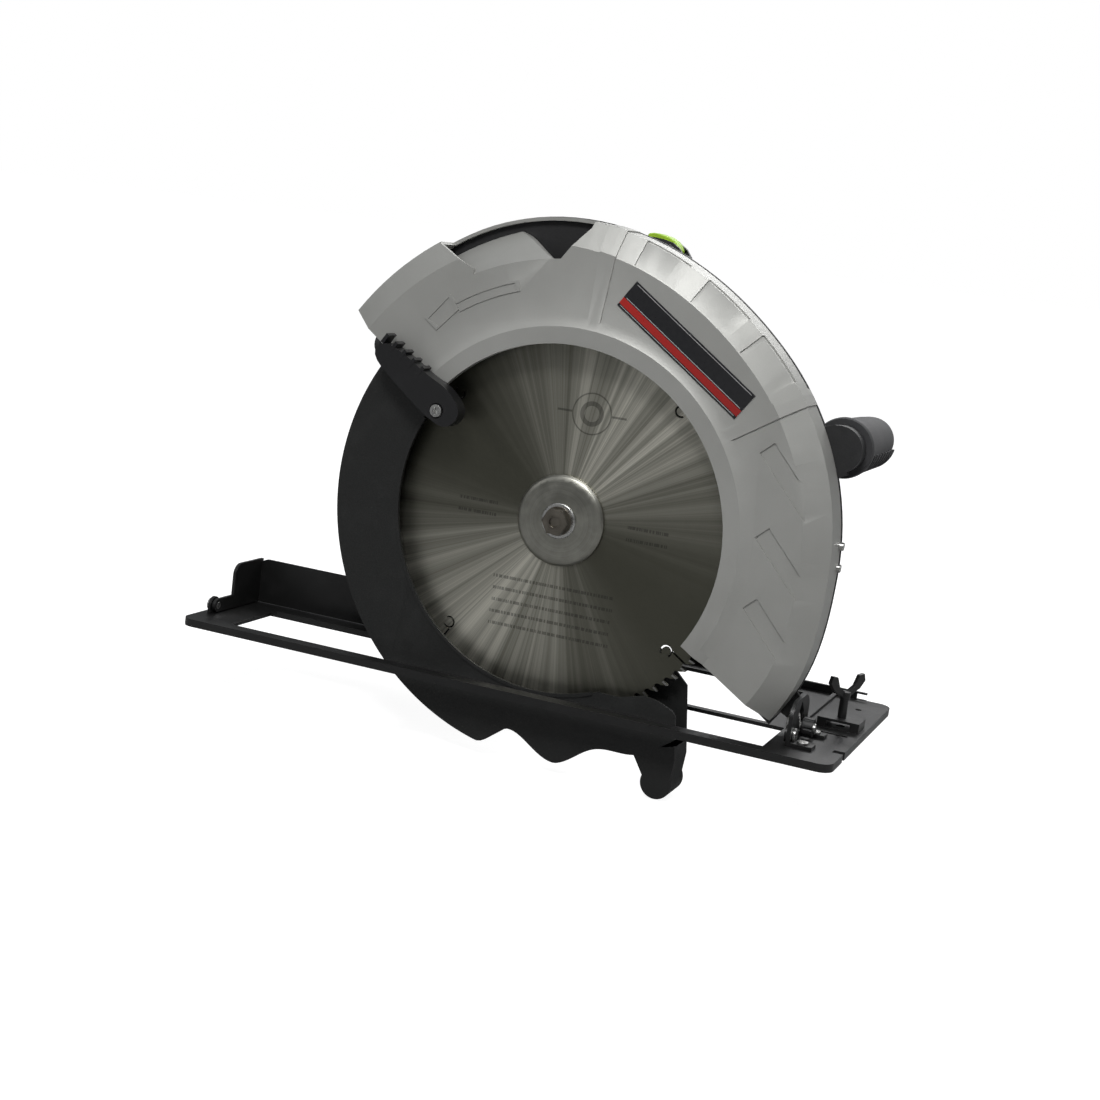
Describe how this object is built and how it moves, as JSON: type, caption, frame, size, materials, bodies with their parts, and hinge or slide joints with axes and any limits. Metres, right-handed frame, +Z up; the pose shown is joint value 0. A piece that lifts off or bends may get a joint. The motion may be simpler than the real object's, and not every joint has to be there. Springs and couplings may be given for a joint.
{
  "type": "circular saw",
  "caption": "Hand held circular saw with an open side guard, swinging lower guard, tilting base plate and swinging depth adjustment.",
  "frame": {"origin": "the middle of the blade on the spindle axis", "axes": "+X forward along the cut, +Y from the blade towards the motor, +Z up"},
  "size_m": [0.467, 0.211, 0.3603],
  "materials": {
    "black_steel": "satin black paint on pressed steel",
    "black_cast": "black paint on cast metal",
    "grey_cast": "as cast",
    "silver_paint": "satin silver grey paint",
    "blade_steel": "ground and brushed",
    "hard_steel": "machined",
    "zinc": "bright zinc plated",
    "bronze": "turned",
    "copper": "enamelled or bare copper",
    "carbon": "pressed carbon",
    "label_film": "printed film with a red stripe",
    "black_plastic": "fine textured nylon",
    "lime_plastic": "fine textured nylon",
    "rubber": "moulded",
    "grip_rubber": "soft moulded with finger ribs"
  },
  "bodies": {
    "base": {"base_plate": "black_steel", "front_bevel_bracket": "black_steel", "rear_bevel_bracket": "black_steel", "bracket_rivets": "zinc", "bevel_pivot_pins": "zinc"},
    "fence_screw": {"rip_guide_wing_screw": "black_steel"},
    "tilt": {"tilt_frame": "black_steel", "bevel_clamp_bolt": "zinc"},
    "bevel_knob": {"bevel_clamp_knob": "black_plastic"},
    "blade_rotor": {"saw_blade": "blade_steel", "outer_flange": "blade_steel", "inner_flange": "blade_steel", "arbor_bolt": "zinc", "bolt_washer": "zinc", "spindle": "hard_steel", "large_gear": "hard_steel"},
    "armature": {"armature_shaft": "hard_steel", "armature_core": "hard_steel", "armature_windings": "copper", "commutator": "copper", "cooling_fan": "black_plastic"},
    "lower_guard": {"lower_guard": "black_steel", "lower_guard_lever": "black_plastic", "lever_screw": "zinc"},
    "trigger": {"trigger": "black_plastic"},
    "lock_off": {"lock_off_button": "lime_plastic"},
    "spindle_lock": {"spindle_lock_button": "black_plastic"},
    "depth_lever": {"depth_lock_lever": "black_plastic"},
    "saw_body": {"depth_pivot_pin": "zinc", "upper_guard_cover": "silver_paint", "guard_back_half": "black_cast", "guard_label": "label_film", "guard_screws": "zinc", "guard_return_spring": "hard_steel", "guard_retaining_ring": "hard_steel", "guard_rest_buffer": "rubber", "bearing_retainer": "grey_cast", "retainer_screws": "zinc", "spindle_bearing": "hard_steel", "spindle_bush": "bronze", "gear_housing": "black_cast", "housing_screws": "zinc", "motor_bearings": "hard_steel", "motor_housing": "black_plastic", "motor_screws": "zinc", "field_core": "hard_steel", "field_windings": "copper", "motor_end_cap": "black_plastic", "end_cap_screws": "zinc", "brush_holders": "bronze", "carbon_brushes": "carbon", "brush_caps": "black_plastic", "handle_left_half": "black_plastic", "handle_right_half": "black_plastic", "handle_screws": "zinc", "switch_body": "black_plastic", "front_grip": "grip_rubber", "front_grip_bolt": "zinc", "depth_clamp_bolt": "zinc", "cord_inlet_gland": "rubber"}
  },
  "joints": [
    {"name": "bevel", "type": "hinge", "parent": "base", "child": "tilt", "pos_m": [0, -0.004, -0.106], "axis": [1, 0, 0], "range_deg": [0, 45]},
    {"name": "bevel_knob_turn", "type": "hinge", "parent": "tilt", "child": "bevel_knob", "pos_m": [0.178, 0.0149, -0.10401], "axis": [1, 0, 0], "range_deg": [-180, 180]},
    {"name": "fence_screw_turn", "type": "hinge", "parent": "base", "child": "fence_screw", "pos_m": [0.189, 0.0615, -0.1], "axis": [0, 0, 1], "range_deg": [-180, 180]},
    {"name": "depth", "type": "hinge", "parent": "tilt", "child": "saw_body", "pos_m": [0.152, 0, -0.086], "axis": [0, -1, 0], "range_deg": [0, 24]},
    {"name": "depth_lever_turn", "type": "hinge", "parent": "saw_body", "child": "depth_lever", "pos_m": [-0.11211, 0.057, 0.02884], "axis": [0, -1, 0], "range_deg": [0, 35]},
    {"name": "lower_guard_swing", "type": "hinge", "parent": "saw_body", "child": "lower_guard", "pos_m": [0, 0, 0], "axis": [0, 1, 0], "range_deg": [0, 110], "stiffness_Nm_per_rad": 0.15, "springref_deg": -68.75},
    {"name": "blade_spin", "type": "hinge", "parent": "saw_body", "child": "blade_rotor", "pos_m": [0, 0, 0], "axis": [0, 1, 0], "continuous": true},
    {"name": "armature_spin", "type": "hinge", "parent": "saw_body", "child": "armature", "pos_m": [0, 0, 0.035], "axis": [0, 1, 0], "continuous": true},
    {"name": "trigger_pull", "type": "hinge", "parent": "saw_body", "child": "trigger", "pos_m": [-0.008, 0.07, 0.162], "axis": [0, 1, 0], "range_deg": [0, 6], "stiffness_Nm_per_rad": 1, "springref_deg": -5.73},
    {"name": "lock_off_slide", "type": "slide", "parent": "saw_body", "child": "lock_off", "axis": [1, 0, 0], "range_m": [0, 0.002], "stiffness_N_per_m": 150, "springref_m": -0.002},
    {"name": "spindle_lock_press", "type": "slide", "parent": "saw_body", "child": "spindle_lock", "axis": [-1, 0, 0], "range_m": [0, 0.0022], "stiffness_N_per_m": 150, "springref_m": -0.002}
  ],
  "couplings": [
    {"joint": "armature_spin", "follows": "blade_spin", "ratio": -4.6}
  ]
}
